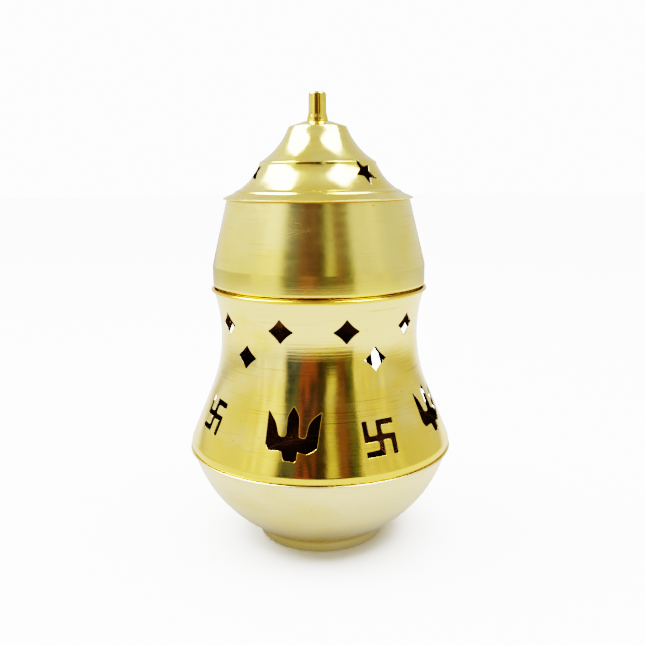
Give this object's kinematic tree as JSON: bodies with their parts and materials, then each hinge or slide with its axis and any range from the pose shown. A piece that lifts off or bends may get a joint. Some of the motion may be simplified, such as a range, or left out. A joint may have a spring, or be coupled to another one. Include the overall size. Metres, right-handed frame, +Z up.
{
  "type": "incense burner",
  "caption": "Footed bowl, waisted pierced cover, plain collar and stepped lid with a pin knob, stacked loose over an ember cup.",
  "frame": {"origin": "centre of the foot's flat underside", "axes": "+Z up along the common axis of the bowl, cover, collar and lid; -Y faces the front, where a trishul opening stands just left of the middle"},
  "size_m": [0.122, 0.122, 0.2038],
  "materials": {
    "spun_brass": "polished, fine spinning lines",
    "strip_brass": "rolled strip, dull",
    "wire_brass": "polished wire",
    "cup_brass": "satin, darkened by heat",
    "turned_brass": "turned and polished"
  },
  "bodies": {
    "base": {"base_bowl": "spun_brass", "bowl_locating_ring": "strip_brass"},
    "cup": {"ember_cup": "cup_brass"},
    "cover": {"waist_cover": "spun_brass", "mouth_ring": "wire_brass"},
    "collar": {"collar_band": "spun_brass", "collar_spigot": "strip_brass"},
    "lid": {"lid_dome": "spun_brass", "lid_spigot": "strip_brass", "knob": "turned_brass", "knob_washer": "turned_brass", "knob_screw": "turned_brass"}
  },
  "joints": [
    {"name": "cover_lift", "type": "slide", "parent": "base", "child": "cover", "axis": [0, 0, 1], "range_m": [0, 0.1]},
    {"name": "collar_lift", "type": "slide", "parent": "cover", "child": "collar", "axis": [0, 0, 1], "range_m": [0, 0.07]},
    {"name": "lid_lift", "type": "slide", "parent": "collar", "child": "lid", "axis": [0, 0, 1], "range_m": [0, 0.06]},
    {"name": "cup_lift", "type": "slide", "parent": "base", "child": "cup", "axis": [0, 0, 1], "range_m": [0, 0.06]}
  ]
}
